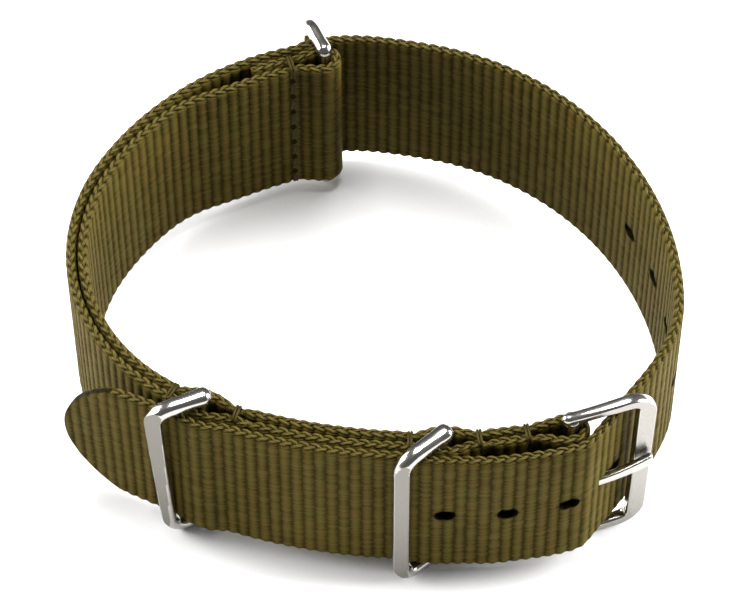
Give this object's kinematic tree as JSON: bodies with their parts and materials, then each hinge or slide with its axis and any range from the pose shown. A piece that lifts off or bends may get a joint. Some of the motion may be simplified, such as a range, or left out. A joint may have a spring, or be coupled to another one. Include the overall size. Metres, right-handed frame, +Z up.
{
  "type": "watch strap",
  "caption": "Pull-through nylon watch strap, closed into a loop on its tang buckle, with steel keepers for the tail and a steel ring at the end of the under strap.",
  "frame": {"origin": "on the surface the strap stands on, at the centre of the loop's round back", "axes": "+Z up, along the wrist; +X to the right, from the tail's tip to the buckle; +Y to the back, away from the buckle"},
  "size_m": [0.0654, 0.0577, 0.0254],
  "materials": {
    "web": "ribbed nylon web, satin",
    "thread": "nylon thread",
    "steel": "polished, with brushed flats"
  },
  "bodies": {
    "strap": {"main_strap": "web", "under_strap": "web", "buckle_fold_stitches": "thread", "near_keeper_right_stitches": "thread", "near_keeper_left_stitches": "thread", "far_keeper_right_stitches": "thread", "far_keeper_left_stitches": "thread", "ring_fold_stitches": "thread"},
    "buckle": {"buckle_frame": "steel", "buckle_bar": "steel"},
    "tongue": {"buckle_tongue": "steel"},
    "near_keeper": {"near_keeper": "steel"},
    "far_keeper": {"far_keeper": "steel"},
    "end_ring": {"end_ring": "steel"}
  },
  "joints": [
    {"name": "buckle_swing", "type": "hinge", "parent": "strap", "child": "buckle", "pos_m": [0.02121, -0.0165, 0.0127], "axis": [0, 0, -1], "range_deg": [0, 5]},
    {"name": "tongue_swing", "type": "hinge", "parent": "buckle", "child": "tongue", "pos_m": [0.02121, -0.0165, 0.0127], "axis": [0, 0, -1], "range_deg": [0, 4]},
    {"name": "near_keeper_swing", "type": "hinge", "parent": "strap", "child": "near_keeper", "pos_m": [0.0081, -0.01808, 0.0127], "axis": [0, 0, 1], "range_deg": [0, 85]},
    {"name": "far_keeper_swing", "type": "hinge", "parent": "strap", "child": "far_keeper", "pos_m": [-0.01674, -0.01371, 0.0127], "axis": [0, 0, 1], "range_deg": [0, 85]},
    {"name": "ring_swing", "type": "hinge", "parent": "strap", "child": "end_ring", "pos_m": [-0.00461, 0.03066, 0.0127], "axis": [0, 0, 1], "range_deg": [-45, 25]}
  ]
}
